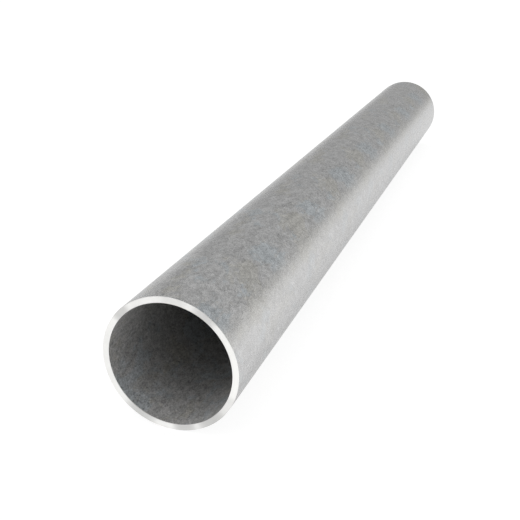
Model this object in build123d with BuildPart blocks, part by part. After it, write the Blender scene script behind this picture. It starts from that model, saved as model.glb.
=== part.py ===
from build123d import *
import math
import os

# Sizes of the pipe, in millimetres
outer_diameter = 108.0
wall = 5.0
length = 1000.0
edge_break = 0.3

# The trimmed weld seam: where it runs round the pipe, and the marks of the trimming
seam_angle = 124.0
flat_width = 6.0
groove_width = 7.0
groove_depth = 0.08

outer_radius = outer_diameter / 2
bore_radius = outer_radius - wall

# The seam's place is counted from straight up, clockwise as seen from the -X end
seam_out = Vector(
    0,
    -math.sin(math.radians(seam_angle)),
    math.cos(math.radians(seam_angle)),
)

# Across the pipe at the -X end, with the sketch's own Y pointing out through the seam
seam_plane = Plane(
    origin=(-length / 2, 0, 0),
    x_dir=seam_out.cross(Vector(1, 0, 0)),
    z_dir=(1, 0, 0),
)

# Distance from the axis to the flat that trimming leaves on the outside
flat_height = math.sqrt(outer_radius**2 - (flat_width / 2) ** 2)

# The groove in the bore is an arc a little tighter than the bore itself
half_groove = groove_width / 2
groove_radius = 1 / (1 / bore_radius + 2 * groove_depth / half_groove**2)
groove_centre = bore_radius + groove_depth - groove_radius

with BuildPart() as pipe:
    # The wall, drawn across the axis and run along it
    with BuildSketch(Plane.YZ.offset(-length / 2)):
        Circle(outer_radius)
        Circle(bore_radius, mode=Mode.SUBTRACT)
    extrude(amount=length)

    # The rims of both square-cut ends, with the burr taken off
    rims = pipe.edges().filter_by(GeomType.CIRCLE)
    chamfer(rims, length=edge_break)

    # Outside, the weld bead is shaved off to a narrow flat
    with BuildSketch(seam_plane):
        with Locations((0, flat_height)):
            Rectangle(
                flat_width * 2,
                wall,
                align=(Align.CENTER, Align.MIN),
            )
    extrude(amount=length, mode=Mode.SUBTRACT)

    # Inside, the trimming tool leaves a shallow groove
    with BuildSketch(seam_plane):
        with Locations((0, groove_centre)):
            Circle(groove_radius)
    extrude(amount=length, mode=Mode.SUBTRACT)

pipe.part.label = "pipe"

os.makedirs("parts", exist_ok=True)
export_step(pipe.part, "parts/pipe.step")
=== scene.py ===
import bpy
import math
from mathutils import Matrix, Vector


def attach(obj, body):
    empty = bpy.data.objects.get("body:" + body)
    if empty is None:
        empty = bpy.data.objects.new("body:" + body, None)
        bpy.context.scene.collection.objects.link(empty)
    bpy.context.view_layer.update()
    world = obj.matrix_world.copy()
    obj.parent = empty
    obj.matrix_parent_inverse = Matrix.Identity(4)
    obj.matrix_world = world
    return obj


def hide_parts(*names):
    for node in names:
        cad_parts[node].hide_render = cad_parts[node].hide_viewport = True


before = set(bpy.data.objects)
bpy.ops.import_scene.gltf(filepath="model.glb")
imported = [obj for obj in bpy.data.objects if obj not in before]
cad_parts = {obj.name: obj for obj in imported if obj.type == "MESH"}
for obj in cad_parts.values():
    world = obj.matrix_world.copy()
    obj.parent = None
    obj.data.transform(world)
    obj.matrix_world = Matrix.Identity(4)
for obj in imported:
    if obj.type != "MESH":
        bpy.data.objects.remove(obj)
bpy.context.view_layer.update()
print("frame loaded")

# the pipe's own sizes, in metres, the same as in the solid
pipeSizes = {
    "Length": 1.0,
    "Outer Radius": 0.054,
    "Wall": 0.005,
    "Edge Break": 0.0003,
    "Seam Angle": math.radians(124),  # from straight up, clockwise seen from the near end
    "Flat Width": 0.006,
    "Groove Width": 0.007,
    "Groove Depth": 0.00008,
    "Rim Steps": 3,  # the steps are the mesh's own
    "Steps Around": 720,
    "Steps Along": 12,
}


# node helpers, used by the trees below

def addNode(tree, kind, **settings):
    node = tree.nodes.new(kind)
    for name, value in settings.items():
        setattr(node, name, value)
    return node


def plug(tree, source, socket):
    # a socket is linked, a plain value is written into the socket
    if isinstance(source, bpy.types.NodeSocket):
        tree.links.new(source, socket)
    else:
        socket.default_value = source


def addSockets(tree, side, kind, *names):
    for name in names:
        tree.interface.new_socket(name=name, in_out=side, socket_type="NodeSocket" + kind)


def useGroup(tree, group, values):
    node = addNode(tree, "ShaderNodeGroup", node_tree=group)
    for name, value in values.items():
        plug(tree, value, node.inputs[name])
    return node


def calc(tree, operation, *values):
    node = addNode(tree, "ShaderNodeMath", operation=operation)
    for index, value in enumerate(values):
        plug(tree, value, node.inputs[index])
    return node.outputs[0]


def square(tree, value):
    return calc(tree, "MULTIPLY", value, value)


def calcVector(tree, operation, first, second):
    node = addNode(tree, "ShaderNodeVectorMath", operation=operation)
    plug(tree, first, node.inputs[0])
    plug(tree, second, node.inputs["Scale" if operation == "SCALE" else 1])
    return node.outputs["Value" if operation == "DISTANCE" else "Vector"]


def splitVector(tree, vector):
    node = addNode(tree, "ShaderNodeSeparateXYZ")
    plug(tree, vector, node.inputs[0])
    return node.outputs["X"], node.outputs["Y"], node.outputs["Z"]


def joinVector(tree, x, y, z):
    node = addNode(tree, "ShaderNodeCombineXYZ")
    for name, value in (("X", x), ("Y", y), ("Z", z)):
        plug(tree, value, node.inputs[name])
    return node.outputs[0]


def fromAxis(tree, y, z):
    return calc(tree, "SQRT", calc(tree, "ADD", square(tree, y), square(tree, z)))


def facingShare(tree, y, z, radius, towardsY, towardsZ):
    # cosine of the angle, round the axis, between a place and a direction
    reach = calc(tree, "ADD", calc(tree, "MULTIPLY", y, towardsY), calc(tree, "MULTIPLY", z, towardsZ))
    return calc(tree, "DIVIDE", reach, radius)


def blend(tree, factor, first, second):
    # the node's colour sockets are 6 and 7 in, and 2 out
    node = addNode(tree, "ShaderNodeMix", data_type="RGBA")
    plug(tree, factor, node.inputs["Factor"])
    plug(tree, first, node.inputs[6])
    plug(tree, second, node.inputs[7])
    return node.outputs[2]


def noise(tree, vector, scale, detail=2.0, roughness=0.5, swirl=0.0):
    node = addNode(tree, "ShaderNodeTexNoise", noise_dimensions="3D")
    plug(tree, vector, node.inputs["Vector"])
    plug(tree, scale, node.inputs["Scale"])
    plug(tree, detail, node.inputs["Detail"])
    plug(tree, roughness, node.inputs["Roughness"])
    plug(tree, swirl, node.inputs["Distortion"])
    return node.outputs["Fac"]


def spread(tree, value, low, high, toLow=0.0, toHigh=1.0, smooth=True):
    node = addNode(tree, "ShaderNodeMapRange", clamp=True)
    node.interpolation_type = "SMOOTHSTEP" if smooth else "LINEAR"
    plug(tree, value, node.inputs["Value"])
    plug(tree, low, node.inputs["From Min"])
    plug(tree, high, node.inputs["From Max"])
    plug(tree, toLow, node.inputs["To Min"])
    plug(tree, toHigh, node.inputs["To Max"])
    return node.outputs["Result"]


# marks that come back along the pipe with every turn of the mill's rolls
rollTurn = {
    "Repeat": 0.1298,  # length of pipe for one turn of the rolls
    "Shortening": 0.66,  # below 1 the marks are longer than wide
    "Detail": 4.0,
    "Roughness": 0.72,
    "Swirl": 0.3,
}


def buildRollMarks():
    tree = bpy.data.node_groups.new("rollMarks", "ShaderNodeTree")
    addSockets(tree, "INPUT", "Vector", "Vector", "Start")
    addSockets(tree, "INPUT", "Float", "Scale", *rollTurn)
    addSockets(tree, "OUTPUT", "Float", "Marks")
    get = addNode(tree, "NodeGroupInput").outputs
    put = addNode(tree, "NodeGroupOutput").inputs

    # noise with the pipe's length wound on a circle, one turn of it for each turn of the rolls
    x, y, z = splitVector(tree, get["Vector"])
    fromEnd = calc(tree, "ADD", x, pipeSizes["Length"] / 2)
    turn = calc(tree, "MULTIPLY", calc(tree, "DIVIDE", fromEnd, get["Repeat"]), math.tau)
    circle = calc(tree, "MULTIPLY", calc(tree, "DIVIDE", get["Repeat"], math.tau), get["Shortening"])
    wound = joinVector(tree, y, z, calc(tree, "MULTIPLY", circle, calc(tree, "COSINE", turn)))
    marks = addNode(tree, "ShaderNodeTexNoise", noise_dimensions="4D")
    plug(tree, calcVector(tree, "ADD", wound, get["Start"]), marks.inputs["Vector"])
    plug(tree, calc(tree, "MULTIPLY", circle, calc(tree, "SINE", turn)), marks.inputs["W"])
    plug(tree, get["Scale"], marks.inputs["Scale"])
    plug(tree, get["Detail"], marks.inputs["Detail"])
    plug(tree, get["Roughness"], marks.inputs["Roughness"])
    plug(tree, get["Swirl"], marks.inputs["Distortion"])
    plug(tree, marks.outputs["Fac"], put["Marks"])
    return tree


rollMarks = buildRollMarks()


def rollMark(tree, vector, scale, start):
    values = {"Vector": vector, "Scale": scale, "Start": start, **rollTurn}
    return useGroup(tree, rollMarks, values).outputs["Marks"]


# mill skin: the fine leathery grain and the bluish and tan patches that rolling leaves on the strip
skinPattern = {
    "rolledOut": (0.66, 1.0, 1.0),  # the grain is a little longer along the pipe, as the strip was rolled
    "wrinkleNoise": {"detail": 3.0, "roughness": 0.62},
    "wrinkleRange": (0.29, 0.71),  # a range holds the two levels of a noise between which its mask rises
    "wrinkleShare": 0.74,
    "mottleNoise": {"detail": 2.0, "roughness": 0.7, "swirl": 0.5},
    "mottleScale": 0.24,  # of the grain's scale
    "mottleRange": (0.32, 0.68),
    "mottleShare": 0.26,
    "driftNoise": {"scale": 9.0, "detail": 1.0},
    "drift": 0.18,
    "patchRange": (0.525, 0.605),
    "stripTanRange": (0.35, 0.60),
    "stripTanLeast": 0.5,
    "spotScale": 3.42,  # of the patches' scale
    "spotRange": (0.57, 0.67),
    "fleckNoise": {"detail": 1.0, "swirl": 1.5},
    "fleckScale": 0.8,  # of the grain's scale
    "fleckRange": (0.69, 0.77),
    "fleckLight": 0.30,
    "wearAndSheenAway": 0.7,  # share of the grain and spots that wear and painted sheen take off
}


def buildMillSkin():
    look = skinPattern
    tree = bpy.data.node_groups.new("millSkin", "ShaderNodeTree")
    addSockets(tree, "INPUT", "Vector", "Vector", "Blue Start", "Tan Start", "Pit Start", "Scuff Start")
    addSockets(tree, "INPUT", "Vector", "Drift Start")
    addSockets(tree, "INPUT", "Color", "Grey", "Blue", "Tan", "Wear And Sheen Grey")
    addSockets(tree, "INPUT", "Float", "Grain Scale", "Grain Swirl", "Grain Contrast", "Patch Scale")
    addSockets(tree, "INPUT", "Float", "Pit Contrast", "Scuff Contrast", "Wear And Sheen", "Tan Strip")
    addSockets(tree, "OUTPUT", "Color", "Color")
    addSockets(tree, "OUTPUT", "Float", "Grain", "Height")
    get = addNode(tree, "NodeGroupInput").outputs
    put = addNode(tree, "NodeGroupOutput").inputs
    place = get["Vector"]

    # grain: wrinkles a millimetre or two long, on a slower mottle
    rolled = calcVector(tree, "MULTIPLY", place, look["rolledOut"])
    creased = noise(tree, rolled, get["Grain Scale"], swirl=get["Grain Swirl"], **look["wrinkleNoise"])
    wrinkles = spread(tree, creased, *look["wrinkleRange"], smooth=False)
    mottleScale = calc(tree, "MULTIPLY", get["Grain Scale"], look["mottleScale"])
    mottle = spread(tree, noise(tree, rolled, mottleScale, **look["mottleNoise"]), *look["mottleRange"])
    mottled = calc(tree, "MULTIPLY", mottle, look["mottleShare"])
    grain = calc(tree, "MULTIPLY_ADD", wrinkles, look["wrinkleShare"], mottled)

    # patches: one set of marks pulls to blue and one to tan, and a slow drift makes
    # each turn a little fuller or emptier than the last
    driftPlace = calcVector(tree, "ADD", place, get["Drift Start"])
    slow = calc(tree, "SUBTRACT", noise(tree, driftPlace, **look["driftNoise"]), 0.5)
    drift = calc(tree, "MULTIPLY", slow, look["drift"])
    bluePatch = rollMark(tree, place, get["Patch Scale"], get["Blue Start"])
    tanPatch = rollMark(tree, place, get["Patch Scale"], get["Tan Start"])
    blueMask = spread(tree, calc(tree, "ADD", bluePatch, drift), *look["patchRange"])
    tanMask = spread(tree, calc(tree, "SUBTRACT", tanPatch, drift), *look["patchRange"])
    stripTan = spread(tree, tanPatch, *look["stripTanRange"], look["stripTanLeast"], 1.0)
    stripTanMask = calc(tree, "MULTIPLY", get["Tan Strip"], stripTan)

    # small dark pits and light scuffs, a few to each turn
    spotScale = calc(tree, "MULTIPLY", get["Patch Scale"], look["spotScale"])
    pits = spread(tree, rollMark(tree, place, spotScale, get["Pit Start"]), *look["spotRange"])
    scuffs = spread(tree, rollMark(tree, place, spotScale, get["Scuff Start"]), *look["spotRange"])
    lighter = calc(tree, "MULTIPLY", scuffs, get["Scuff Contrast"])
    darker = calc(tree, "MULTIPLY", pits, get["Pit Contrast"])
    spots = calc(tree, "SUBTRACT", lighter, darker)

    # short bright flecks, where the skin is nicked
    fleckScale = calc(tree, "MULTIPLY", get["Grain Scale"], look["fleckScale"])
    flecks = spread(tree, noise(tree, rolled, fleckScale, **look["fleckNoise"]), *look["fleckRange"])

    tanned = blend(tree, tanMask, get["Grey"], get["Tan"])
    patched = blend(tree, blueMask, tanned, get["Blue"])
    # worn spots, and painted sheen on the bright flank, even the colour out to one grey
    wornAndSheened = blend(tree, get["Wear And Sheen"], patched, get["Wear And Sheen Grey"])
    stripTanned = blend(tree, stripTanMask, wornAndSheened, get["Tan"])
    texture = calc(tree, "MULTIPLY_ADD", calc(tree, "SUBTRACT", grain, 0.5), get["Grain Contrast"], spots)
    kept = calc(tree, "MULTIPLY_ADD", get["Wear And Sheen"], -look["wearAndSheenAway"], 1.0)
    textured = calc(tree, "MULTIPLY_ADD", texture, kept, 1.0)
    shade = calc(tree, "MULTIPLY_ADD", flecks, look["fleckLight"], textured)

    plug(tree, calcVector(tree, "SCALE", stripTanned, shade), put["Color"])
    plug(tree, grain, put["Grain"])
    plug(tree, wrinkles, put["Height"])
    return tree


millSkin = buildMillSkin()

# trimmed weld: a straight band along the pipe with cutting lines in it, and the heat's tint on both sides
weldPattern = {
    "wanderNoise": {"scale": 35.0, "roughness": 0.6},
    "wanderWidth": 0.0012,
    "edgeBlur": 0.0003,
    "linesAlong": 12.0,  # per metre, few beside those across, which draws the lines out along the pipe
    "lineNoise": {"scale": 1.0, "roughness": 0.6},
    "lineRange": (0.3, 0.7),
    "lineLight": (0.24, 0.88),  # contrast and darkest
    "heatTint": 0.6,
}


def buildTrimmedWeld():
    look = weldPattern
    tree = bpy.data.node_groups.new("trimmedWeld", "ShaderNodeTree")
    addSockets(tree, "INPUT", "Vector", "Vector")
    addSockets(tree, "INPUT", "Float", "Seam Angle", "Trimmed Width", "Heated Width", "Lines Per Metre")
    addSockets(tree, "OUTPUT", "Float", "Trimmed", "Heated", "Lines")
    get = addNode(tree, "NodeGroupInput").outputs
    put = addNode(tree, "NodeGroupOutput").inputs

    x, y, z = splitVector(tree, get["Vector"])
    sine = calc(tree, "SINE", get["Seam Angle"])
    cosine = calc(tree, "COSINE", get["Seam Angle"])
    across = calc(tree, "ADD", calc(tree, "MULTIPLY", y, cosine), calc(tree, "MULTIPLY", z, sine))
    outward = calc(tree, "SUBTRACT", calc(tree, "MULTIPLY", z, cosine), calc(tree, "MULTIPLY", y, sine))
    seamSide = calc(tree, "GREATER_THAN", outward, 0.0)

    # the band's two edges wander a little along the pipe
    wander = calc(tree, "SUBTRACT", noise(tree, get["Vector"], **look["wanderNoise"]), 0.5)
    away = calc(tree, "MULTIPLY_ADD", wander, look["wanderWidth"], calc(tree, "ABSOLUTE", across))
    halfTrimmed = calc(tree, "MULTIPLY", get["Trimmed Width"], 0.5)
    halfHeated = calc(tree, "MULTIPLY", get["Heated Width"], 0.5)
    bandFrom = calc(tree, "SUBTRACT", halfTrimmed, look["edgeBlur"])
    bandTo = calc(tree, "ADD", halfTrimmed, look["edgeBlur"])
    trimmed = spread(tree, away, bandFrom, bandTo, 1.0, 0.0)
    heated = spread(tree, away, halfTrimmed, halfHeated, 1.0, 0.0)

    # cutting lines: noise drawn out along the pipe
    alongLines = calc(tree, "MULTIPLY", x, look["linesAlong"])
    acrossLines = calc(tree, "MULTIPLY", across, get["Lines Per Metre"])
    lines = noise(tree, joinVector(tree, alongLines, acrossLines, 0.0), **look["lineNoise"])

    plug(tree, calc(tree, "MULTIPLY", trimmed, seamSide), put["Trimmed"])
    plug(tree, calc(tree, "MULTIPLY", heated, seamSide), put["Heated"])
    plug(tree, spread(tree, lines, *look["lineRange"], smooth=False), put["Lines"])
    return tree


trimmedWeld = buildTrimmedWeld()


def newMaterial(name):
    material = bpy.data.materials.new(name)
    material.use_nodes = True
    return material, material.node_tree, material.node_tree.nodes["Principled BSDF"]


def drawnRound(tree, surface, anisotropy):
    # the gloss follows the way round the axis
    surface.inputs["Anisotropic"].default_value = anisotropy
    tangent = addNode(tree, "ShaderNodeTangent", direction_type="RADIAL", axis="X")
    plug(tree, tangent.outputs[0], surface.inputs["Tangent"])


def addRelief(tree, surface, height, distance):
    bump = addNode(tree, "ShaderNodeBump")
    bump.inputs["Strength"].default_value = 1.0
    bump.inputs["Distance"].default_value = distance
    plug(tree, height, bump.inputs["Height"])
    plug(tree, bump.outputs["Normal"], surface.inputs["Normal"])


# where the skin's colour changes, each place from where the change starts to where it ends: painted sheen
# on one flank, a tan strip, worn spots and painted shade deeper in the bore
wearAndPaintedLight = {
    "flank": (-0.036, -0.048),  # Y, painted sheen from here down that side: grain and patches evened out where it reflects the bright floor
    "strip": (-0.039, -0.045),  # Y, a strip along the same flank tinted tan
    "stripEnd": (-0.0475, -0.052),
    "blotchScale": 14.0,  # rubbed spots elsewhere
    "blotchRange": (0.55, 0.70),
    "deeper": (0.018, 0.075),  # depth from either end, over which the bore's painted shade darkens
}

# outside: bare mill steel, half glossy
outsideFinish = {
    "skin": {
        "Grain Scale": 600.0,
        "Grain Swirl": 1.4,
        "Grain Contrast": 0.88,
        "Patch Scale": 38.0,
        "Blue Start": (9.75, 1.89, 4.97),  # the starts put patches and spots about where the photo has them
        "Tan Start": (3.60, 8.58, 4.73),
        "Pit Start": (0.86, 8.37, 5.21),
        "Scuff Start": (6.82, 4.66, 9.13),
        "Drift Start": (4.20, 8.79, 2.62),
        "Pit Contrast": 0.22,
        "Scuff Contrast": 0.16,
        "Grey": (0.685, 0.686, 0.684, 1),
        "Blue": (0.665, 0.705, 0.728, 1),
        "Tan": (0.695, 0.686, 0.649, 1),
        "Wear And Sheen Grey": (0.690, 0.687, 0.688, 1),
    },
    "weld": {
        "Seam Angle": pipeSizes["Seam Angle"],
        "Trimmed Width": pipeSizes["Flat Width"],
        "Heated Width": 0.020,
        "Lines Per Metre": 2500.0,
    },
    "trimmedColor": (0.74, 0.735, 0.72),
    "heatedColor": (0.50, 0.53, 0.56, 1),
    "shadeNearEnds": 1.0,
    "shadeDeeper": 1.0,
    "metallic": 1.0,
    "grazing": (0.84, 0.84, 0.84, 1),
    "roughness": 0.27,
    "roughnessSwing": 0.06,
    "anisotropy": 0.87,
    "bumpHeight": 0.00003,
    "flankSheen": 0.68,
    "rubbedSpots": 0.2,
    "tanStrip": 0.55,
}


def skinMaterial(name, finish):
    material, tree, surface = newMaterial(name)
    place = addNode(tree, "ShaderNodeTexCoord").outputs["Object"]
    x, y = splitVector(tree, place)[:2]
    skin = useGroup(tree, millSkin, {"Vector": place, **finish["skin"]})

    # painted sheen: one flank, which reflects the bright floor, has its grain and patches evened out; a few
    # worn spots elsewhere are evened out too
    flank = spread(tree, y, *wearAndPaintedLight["flank"], 0.0, finish["flankSheen"])
    blotches = noise(tree, place, wearAndPaintedLight["blotchScale"])
    spots = spread(tree, blotches, *wearAndPaintedLight["blotchRange"], 0.0, finish["rubbedSpots"])
    plug(tree, calc(tree, "MAXIMUM", flank, spots), skin.inputs["Wear And Sheen"])
    # a strip along the same flank is tinted tan
    strip = spread(tree, y, *wearAndPaintedLight["strip"], 0.0, finish["tanStrip"])
    stripEnd = spread(tree, y, *wearAndPaintedLight["stripEnd"], 1.0, 0.0)
    plug(tree, calc(tree, "MULTIPLY", strip, stripEnd), skin.inputs["Tan Strip"])

    # painted shade: the skin's colour is scaled near the two ends and deeper along the pipe; in the bore it
    # is paler at the ends and darker deeper in
    fromEnd = calc(tree, "SUBTRACT", pipeSizes["Length"] / 2, calc(tree, "ABSOLUTE", x))
    shade = spread(tree, fromEnd, *wearAndPaintedLight["deeper"], finish["shadeNearEnds"], finish["shadeDeeper"])
    shaded = calcVector(tree, "SCALE", skin.outputs["Color"], shade)

    # the trimmed weld and its heat tint
    weld = useGroup(tree, trimmedWeld, {"Vector": place, **finish["weld"]})
    trimmed, lines = weld.outputs["Trimmed"], weld.outputs["Lines"]
    tint = calc(tree, "MULTIPLY", weld.outputs["Heated"], weldPattern["heatTint"])
    tinted = blend(tree, tint, shaded, finish["heatedColor"])
    lineLight = calc(tree, "MULTIPLY_ADD", lines, *weldPattern["lineLight"])
    lined = calcVector(tree, "SCALE", finish["trimmedColor"], lineLight)
    plug(tree, blend(tree, trimmed, tinted, lined), surface.inputs["Base Color"])

    surface.inputs["Metallic"].default_value = finish["metallic"]
    surface.inputs["Specular Tint"].default_value = finish["grazing"]
    drawnRound(tree, surface, finish["anisotropy"])
    smoothest = finish["roughness"] - finish["roughnessSwing"]
    roughest = finish["roughness"] + finish["roughnessSwing"]
    gloss = spread(tree, skin.outputs["Grain"], 0.0, 1.0, smoothest, roughest, smooth=False)
    plug(tree, gloss, surface.inputs["Roughness"])
    height = addNode(tree, "ShaderNodeMix", data_type="FLOAT")  # its plain numbers are sockets 2 and 3
    plug(tree, trimmed, height.inputs["Factor"])
    plug(tree, skin.outputs["Height"], height.inputs[2])
    plug(tree, lines, height.inputs[3])
    addRelief(tree, surface, height.outputs[0], finish["bumpHeight"])
    return material


outsideSteel = skinMaterial("outsideSteel", outsideFinish)

# bore: the same strip, duller and darker because nothing rubs it, with painted shade: paler near the two
# ends and darker deeper in
boreFinish = {
    "skin": {
        "Grain Scale": 850.0,
        "Grain Swirl": 0.6,
        "Grain Contrast": 1.2,
        "Patch Scale": 38.0,
        "Blue Start": (1.03, 6.82, 8.93),
        "Tan Start": (4.92, 6.47, 2.10),
        "Pit Start": (6.07, 5.07, 1.48),
        "Scuff Start": (0.04, 3.92, 8.59),
        "Drift Start": (0, 0, 0),
        "Pit Contrast": 0.22,
        "Scuff Contrast": 0.16,
        "Grey": (0.411, 0.407, 0.403, 1),
        "Blue": (0.405, 0.425, 0.439, 1),
        "Tan": (0.416, 0.406, 0.378, 1),
        "Wear And Sheen Grey": (0.405, 0.405, 0.401, 1),
    },
    "weld": {
        "Seam Angle": pipeSizes["Seam Angle"],
        "Trimmed Width": pipeSizes["Groove Width"],
        "Heated Width": 0.020,
        "Lines Per Metre": 2500.0,
    },
    "trimmedColor": (0.44, 0.435, 0.43),
    "heatedColor": (0.30, 0.32, 0.34, 1),
    "shadeNearEnds": 1.06,
    "shadeDeeper": 0.93,
    "metallic": 0.3,
    "grazing": (1, 1, 1, 1),
    "roughness": 0.75,
    "roughnessSwing": 0.05,
    "anisotropy": 0.0,
    "bumpHeight": 0.00008,
    "flankSheen": 0.0,
    "rubbedSpots": 0.0,
    "tanStrip": 0.0,
}
boreSteel = skinMaterial("boreSteel", boreFinish)

# cut faces: turned bright, with fine rings round the axis
cutFinish = {
    "color": (0.90, 0.896, 0.878),
    # the sectors are painted shade: darker places in the reflection off the turned face
    "paintedShadeSectors": (
        (-150, 19, 0.30), (-88, 45, 0.05), (-45, 11, 0.32), (-29, 9, 0.04), (6, 14, 0.12),
        (34, 14, 0.25), (118, 10, 0.16), (140, 19, 0.38), (168, 13, 0.32),
    ),  # angle from straight up, half width, how much painted shade
    "roughness": 0.34,
    "roughnessSwing": 0.06,
    "anisotropy": 0.9,
    "anisotropyTurn": 0.25,
    "ringsPerMetre": 9000.0,
    "ringDetail": 2.0,
    "ringRange": (0.3, 0.7),
    "ringHeight": 0.000004,
    "ringLight": (0.08, 0.95),  # contrast and darkest
    "smudgeNoise": {"scale": 90.0, "detail": 3.0, "roughness": 0.6},
    "smudgeRange": (0.35, 0.65),
    "smudgeLight": (0.04, 0.98),  # contrast and darkest
}


def cutMaterial():
    material, tree, surface = newMaterial("cutSteel")
    place = addNode(tree, "ShaderNodeTexCoord").outputs["Object"]
    y, z = splitVector(tree, place)[1:]
    radius = fromAxis(tree, y, z)
    rings = addNode(tree, "ShaderNodeTexNoise", noise_dimensions="1D")
    plug(tree, radius, rings.inputs["W"])
    rings.inputs["Scale"].default_value = cutFinish["ringsPerMetre"]
    rings.inputs["Detail"].default_value = cutFinish["ringDetail"]
    ring = rings.outputs["Fac"]
    smudge = spread(tree, noise(tree, place, **cutFinish["smudgeNoise"]), *cutFinish["smudgeRange"])
    ringLight = calc(tree, "MULTIPLY_ADD", ring, *cutFinish["ringLight"])
    smudgeLight = calc(tree, "MULTIPLY_ADD", smudge, *cutFinish["smudgeLight"])
    bright = calc(tree, "MULTIPLY", ringLight, smudgeLight)

    # painted shade: darker sectors round the cut face, standing in for reflection that the turning marks
    # turn away
    for angle, halfWidth, shadeDepth in cutFinish["paintedShadeSectors"]:
        towardsY, towardsZ = -math.sin(math.radians(angle)), math.cos(math.radians(angle))
        along = facingShare(tree, y, z, radius, towardsY, towardsZ)
        paintedShadeFactor = spread(tree, along, math.cos(math.radians(halfWidth)), 1.0, 1.0, 1.0 - shadeDepth)
        bright = calc(tree, "MULTIPLY", bright, paintedShadeFactor)
    plug(tree, calcVector(tree, "SCALE", cutFinish["color"], bright), surface.inputs["Base Color"])
    surface.inputs["Metallic"].default_value = 1.0
    smoothest = cutFinish["roughness"] - cutFinish["roughnessSwing"]
    roughest = cutFinish["roughness"] + cutFinish["roughnessSwing"]
    gloss = spread(tree, ring, *cutFinish["ringRange"], smoothest, roughest)
    plug(tree, gloss, surface.inputs["Roughness"])
    drawnRound(tree, surface, cutFinish["anisotropy"])
    surface.inputs["Anisotropic Rotation"].default_value = cutFinish["anisotropyTurn"]
    addRelief(tree, surface, ring, cutFinish["ringHeight"])
    return material


cutSteel = cutMaterial()
print("materials made")


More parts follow.
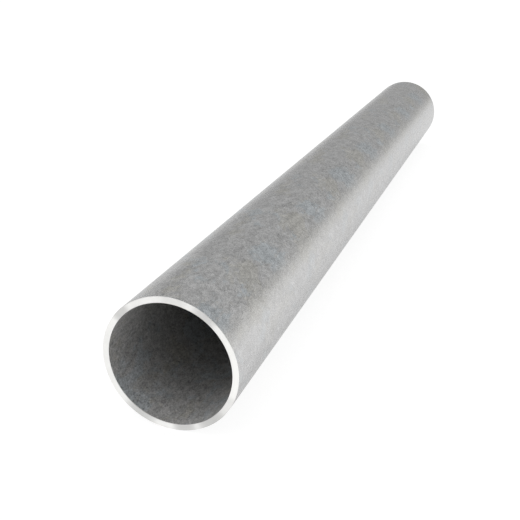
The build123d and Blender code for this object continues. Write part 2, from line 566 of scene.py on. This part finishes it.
# the pipe: its wall section carried round the axis, then trimmed along the weld
def buildPipeTree():
    tree = bpy.data.node_groups.new("pipeWall", "GeometryNodeTree")
    addSockets(tree, "INPUT", "Geometry", "Geometry")
    for name, size in pipeSizes.items():
        addSockets(tree, "INPUT", "Int" if isinstance(size, int) else "Float", name)
    addSockets(tree, "INPUT", "Material", "Outside", "Bore", "Cut Face")
    addSockets(tree, "OUTPUT", "Geometry", "Geometry")
    get = addNode(tree, "NodeGroupInput").outputs
    put = addNode(tree, "NodeGroupOutput").inputs
    outerRadius, wall, angle = get["Outer Radius"], get["Wall"], get["Seam Angle"]
    boreRadius = calc(tree, "SUBTRACT", outerRadius, wall)
    middleRadius = calc(tree, "SUBTRACT", outerRadius, calc(tree, "MULTIPLY", wall, 0.5))

    # section of the wall with its four rims rounded, cut into steps on the two long sides only
    section = addNode(tree, "GeometryNodeCurvePrimitiveQuadrilateral", mode="RECTANGLE")
    plug(tree, wall, section.inputs["Width"])
    plug(tree, get["Length"], section.inputs["Height"])
    rims = addNode(tree, "GeometryNodeFilletCurve", mode="POLY")
    plug(tree, section.outputs[0], rims.inputs["Curve"])
    plug(tree, get["Rim Steps"], rims.inputs["Count"])
    plug(tree, get["Edge Break"], rims.inputs["Radius"])
    place = addNode(tree, "GeometryNodeInputPosition").outputs[0]
    nextPoint = addNode(tree, "GeometryNodeOffsetPointInCurve")
    plug(tree, addNode(tree, "GeometryNodeInputIndex").outputs[0], nextPoint.inputs["Point Index"])
    nextPoint.inputs["Offset"].default_value = 1
    nextPlace = addNode(tree, "GeometryNodeFieldAtIndex", data_type="FLOAT_VECTOR", domain="POINT")
    plug(tree, place, nextPlace.inputs["Value"])
    plug(tree, nextPoint.outputs["Point Index"], nextPlace.inputs["Index"])
    reach = calcVector(tree, "DISTANCE", place, nextPlace.outputs[0])
    longSide = calc(tree, "GREATER_THAN", reach, calc(tree, "MULTIPLY", get["Length"], 0.5))
    steps = addNode(tree, "GeometryNodeSubdivideCurve")
    plug(tree, rims.outputs[0], steps.inputs["Curve"])
    plug(tree, calc(tree, "MULTIPLY", longSide, get["Steps Along"]), steps.inputs["Cuts"])

    # carried round a circle, then laid with its axis along X
    circle = addNode(tree, "GeometryNodeCurvePrimitiveCircle", mode="RADIUS")
    plug(tree, get["Steps Around"], circle.inputs["Resolution"])
    plug(tree, middleRadius, circle.inputs["Radius"])
    swept = addNode(tree, "GeometryNodeCurveToMesh")
    plug(tree, circle.outputs["Curve"], swept.inputs["Curve"])
    plug(tree, steps.outputs[0], swept.inputs["Profile Curve"])
    laid = addNode(tree, "GeometryNodeTransform")
    plug(tree, swept.outputs[0], laid.inputs["Geometry"])
    laid.inputs["Rotation"].default_value = (0, math.pi / 2, 0)

    # how far each point lies from the axis, and how squarely it faces the weld
    x, y, z = splitVector(tree, addNode(tree, "GeometryNodeInputPosition").outputs[0])
    radius = fromAxis(tree, y, z)
    towardsY = calc(tree, "MULTIPLY", calc(tree, "SINE", angle), -1.0)
    facing = facingShare(tree, y, z, radius, towardsY, calc(tree, "COSINE", angle))

    # outside, the bead is shaved to a flat: a chord of the outer circle
    halfFlat = calc(tree, "MULTIPLY", get["Flat Width"], 0.5)
    flatSquared = calc(tree, "SUBTRACT", square(tree, outerRadius), square(tree, halfFlat))
    leastFacing = 0.5  # the flat ends long before this, and past it facing runs through zero
    chordFacing = calc(tree, "MAXIMUM", facing, leastFacing)
    chord = calc(tree, "DIVIDE", calc(tree, "SQRT", flatSquared), chordFacing)
    shaved = calc(tree, "MINIMUM", radius, chord)

    # inside, the trimming tool leaves a groove: an arc tighter than the bore
    halfGroove = calc(tree, "MULTIPLY", get["Groove Width"], 0.5)
    twiceDeep = calc(tree, "MULTIPLY", get["Groove Depth"], 2.0)
    tighter = calc(tree, "DIVIDE", twiceDeep, square(tree, halfGroove))
    boreCurve = calc(tree, "DIVIDE", 1.0, boreRadius)
    grooveRadius = calc(tree, "DIVIDE", 1.0, calc(tree, "ADD", boreCurve, tighter))
    grooveBottom = calc(tree, "ADD", boreRadius, get["Groove Depth"])
    grooveCentre = calc(tree, "SUBTRACT", grooveBottom, grooveRadius)
    turnedAway = calc(tree, "SUBTRACT", 1.0, square(tree, facing))
    sideways = calc(tree, "MULTIPLY", square(tree, grooveCentre), turnedAway)
    reachOut = calc(tree, "SQRT", calc(tree, "SUBTRACT", square(tree, grooveRadius), sideways))
    groove = calc(tree, "ADD", calc(tree, "MULTIPLY", grooveCentre, facing), reachOut)
    grooved = calc(tree, "MAXIMUM", radius, groove)

    outer = calc(tree, "GREATER_THAN", radius, middleRadius)
    inner = calc(tree, "SUBTRACT", 1.0, outer)
    outerTrimmed = calc(tree, "MULTIPLY", outer, shaved)
    trimmed = calc(tree, "ADD", outerTrimmed, calc(tree, "MULTIPLY", inner, grooved))
    scale = calc(tree, "DIVIDE", trimmed, radius)
    newPlace = joinVector(tree, x, calc(tree, "MULTIPLY", y, scale), calc(tree, "MULTIPLY", z, scale))
    trim = addNode(tree, "GeometryNodeSetPosition")
    plug(tree, laid.outputs[0], trim.inputs["Geometry"])
    plug(tree, newPlace, trim.inputs["Position"])
    smooth = addNode(tree, "GeometryNodeSetShadeSmooth", domain="FACE")
    plug(tree, trim.outputs[0], smooth.inputs["Geometry"])
    solid = addNode(tree, "GeometryNodeRealizeInstances")
    plug(tree, smooth.outputs[0], solid.inputs["Geometry"])

    # finishes: bore by radius, cut faces and rims by how far they face along the pipe
    cutFacing = 0.2  # cosine to the pipe's direction
    alongX = splitVector(tree, addNode(tree, "GeometryNodeInputNormal").outputs["Normal"])[0]
    endward = calc(tree, "GREATER_THAN", calc(tree, "ABSOLUTE", alongX), cutFacing)
    result = solid.outputs[0]
    for name, where in (("Outside", True), ("Bore", inner), ("Cut Face", endward)):
        finish = addNode(tree, "GeometryNodeSetMaterial")
        plug(tree, result, finish.inputs["Geometry"])
        plug(tree, get[name], finish.inputs["Material"])
        plug(tree, where, finish.inputs["Selection"])
        result = finish.outputs[0]
    plug(tree, result, put["Geometry"])
    return tree


def makePipe():
    pipe = bpy.data.objects.new("steelPipe", bpy.data.meshes.new("steelPipe"))
    bpy.context.scene.collection.objects.link(pipe)
    tree = buildPipeTree()
    nodes = pipe.modifiers.new("pipeWall", "NODES")
    nodes.node_group = tree
    values = {**pipeSizes, "Outside": outsideSteel, "Bore": boreSteel, "Cut Face": cutSteel}
    for socket in tree.interface.items_tree:
        if socket.in_out == "INPUT" and socket.name in values:
            nodes[socket.identifier] = values[socket.name]
    weighted = pipe.modifiers.new("flatFacesStayFlat", "WEIGHTED_NORMAL")
    weighted.weight = 100
    bpy.context.view_layer.update()
    shaped = pipe.evaluated_get(bpy.context.evaluated_depsgraph_get())
    mesh = bpy.data.meshes.new_from_object(shaped)
    pipe.modifiers.clear()
    pipe.data = mesh
    return pipe


steelPipe = makePipe()
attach(steelPipe, "root")
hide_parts("pipe")
print("pipe made,", len(steelPipe.data.polygons), "faces")

# floor, level with the underside of the pipe
floorLook = {
    "height": -pipeSizes["Outer Radius"],
    "halfSide": 30.0,
    "color": (0.90, 0.90, 0.90, 1),
    "roughness": 0.9,
    "whiteStrength": 1.15,
    "whiteShareSeen": 0.75,
    "whiteShareMirrored": 0.37,
    "whiteShareUnder": 0.6,  # mirrored share of the floor right under the pipe
    "whiteShareInFront": 1.0,  # and in front of the near end
    "underTo": 0.033,  # Y, either side of the pipe
    "besideFrom": 0.050,
    "nearEnd": -pipeSizes["Length"] / 2,
    "nearEndBlur": 0.0005,
}


def makeFloor():
    look = floorLook
    half, height = look["halfSide"], look["height"]
    mesh = bpy.data.meshes.new("floor")
    corners = [(-half, -half, height), (half, -half, height), (half, half, height), (-half, half, height)]
    mesh.from_pydata(corners, [], [(0, 1, 2, 3)])
    floor = bpy.data.objects.new("floor", mesh)
    bpy.context.scene.collection.objects.link(floor)
    material, tree, surface = newMaterial("paleFloor")
    surface.inputs["Base Color"].default_value = look["color"]
    surface.inputs["Roughness"].default_value = look["roughness"]
    surface.inputs["Specular IOR Level"].default_value = 0.0
    glow = addNode(tree, "ShaderNodeEmission")
    glow.inputs["Strength"].default_value = look["whiteStrength"]

    # how much of the plain white each kind of ray sees
    rays = addNode(tree, "ShaderNodeLightPath").outputs
    mirrored = calc(tree, "MAXIMUM", rays["Is Glossy Ray"], rays["Is Transmission Ray"])
    x, y = splitVector(tree, addNode(tree, "ShaderNodeTexCoord").outputs["Object"])[:2]
    sideways = calc(tree, "ABSOLUTE", y)
    fromUnder = look["whiteShareUnder"], look["whiteShareMirrored"]
    besideShare = spread(tree, sideways, look["underTo"], look["besideFrom"], *fromUnder)
    inFront = look["nearEnd"] - look["nearEndBlur"]
    behind = look["nearEnd"] + look["nearEndBlur"]
    mirroredShare = spread(tree, x, inFront, behind, look["whiteShareInFront"], besideShare)
    seenShare = calc(tree, "MULTIPLY", rays["Is Camera Ray"], look["whiteShareSeen"])
    share = calc(tree, "ADD", seenShare, calc(tree, "MULTIPLY", mirrored, mirroredShare))
    mix = addNode(tree, "ShaderNodeMixShader")
    plug(tree, share, mix.inputs[0])
    plug(tree, surface.outputs[0], mix.inputs[1])
    plug(tree, glow.outputs[0], mix.inputs[2])
    plug(tree, mix.outputs[0], tree.nodes["Material Output"].inputs["Surface"])
    mesh.materials.append(material)


makeFloor()

# studio: white round the horizon, greyer overhead
studio = {
    "horizon": (1.06, 1.06, 1.06, 1),
    "overhead": (0.48, 0.48, 0.48, 1),
    "whiteUpTo": 0.0,  # sine of the elevation
    "greyFrom": 0.05,
    "leanRight": 0.07,  # the white reaches higher on the right
    "dip": 0.5,  # and lower straight behind the far end
    "dipLean": 1.3,  # more so to the left of it
    "dipFrom": 0.84,
    "lampStrength": 1.35,
    "lampSpread": math.radians(90),
    "lampFrom": (-0.08, 0.15, 0.98),
    "lampDistance": 3.0,
}


def makeStudio():
    world = bpy.data.worlds.new("studio")
    bpy.context.scene.world = world
    world.use_nodes = True
    tree = world.node_tree
    x, y, z = splitVector(tree, addNode(tree, "ShaderNodeTexCoord").outputs["Generated"])
    beyond = calc(tree, "MAXIMUM", calc(tree, "SUBTRACT", x, studio["dipFrom"]), 0.0)
    leaned = calc(tree, "MULTIPLY_ADD", y, calc(tree, "MULTIPLY", beyond, studio["dipLean"]), z)
    dipped = calc(tree, "MULTIPLY_ADD", beyond, studio["dip"], leaned)
    onRight = calc(tree, "MINIMUM", y, 0.0)
    height = calc(tree, "MULTIPLY_ADD", onRight, studio["leanRight"], dipped)
    rise = spread(tree, height, studio["whiteUpTo"], studio["greyFrom"])
    sky = blend(tree, rise, studio["horizon"], studio["overhead"])
    plug(tree, sky, tree.nodes["Background"].inputs["Color"])
    lamp = bpy.data.lights.new("softLamp", "SUN")
    lamp.energy = studio["lampStrength"]
    lamp.angle = studio["lampSpread"]
    holder = bpy.data.objects.new("softLamp", lamp)
    lampFrom = Vector(studio["lampFrom"])
    holder.location = lampFrom * studio["lampDistance"]
    holder.rotation_euler = (-lampFrom).to_track_quat("-Z", "Y").to_euler()
    bpy.context.scene.collection.objects.link(holder)


makeStudio()
print("floor and light made")

# camera: in front of the near end, above it and a little to its right
cameraView = {
    "place": (-0.95715, -0.22885, 0.28196),
    "heading": math.radians(19.2057),  # left of the pipe's own direction
    "down": math.radians(21.539),
    "lens": 55.116,
    "sensor": 36.0,
    "clipEnd": 200.0,
}


def makeCamera():
    data = bpy.data.cameras.new("camera")
    data.lens = cameraView["lens"]
    data.sensor_width = cameraView["sensor"]
    data.clip_end = cameraView["clipEnd"]
    camera = bpy.data.objects.new("camera", data)
    camera.location = cameraView["place"]
    heading, down = cameraView["heading"], cameraView["down"]
    level = math.cos(down)
    forward = Vector((math.cos(heading) * level, math.sin(heading) * level, -math.sin(down)))
    camera.rotation_euler = forward.to_track_quat("-Z", "Y").to_euler()
    bpy.context.scene.collection.objects.link(camera)
    bpy.context.scene.camera = camera


makeCamera()
bpy.context.scene.view_settings.view_transform = "Standard"
print("camera placed")
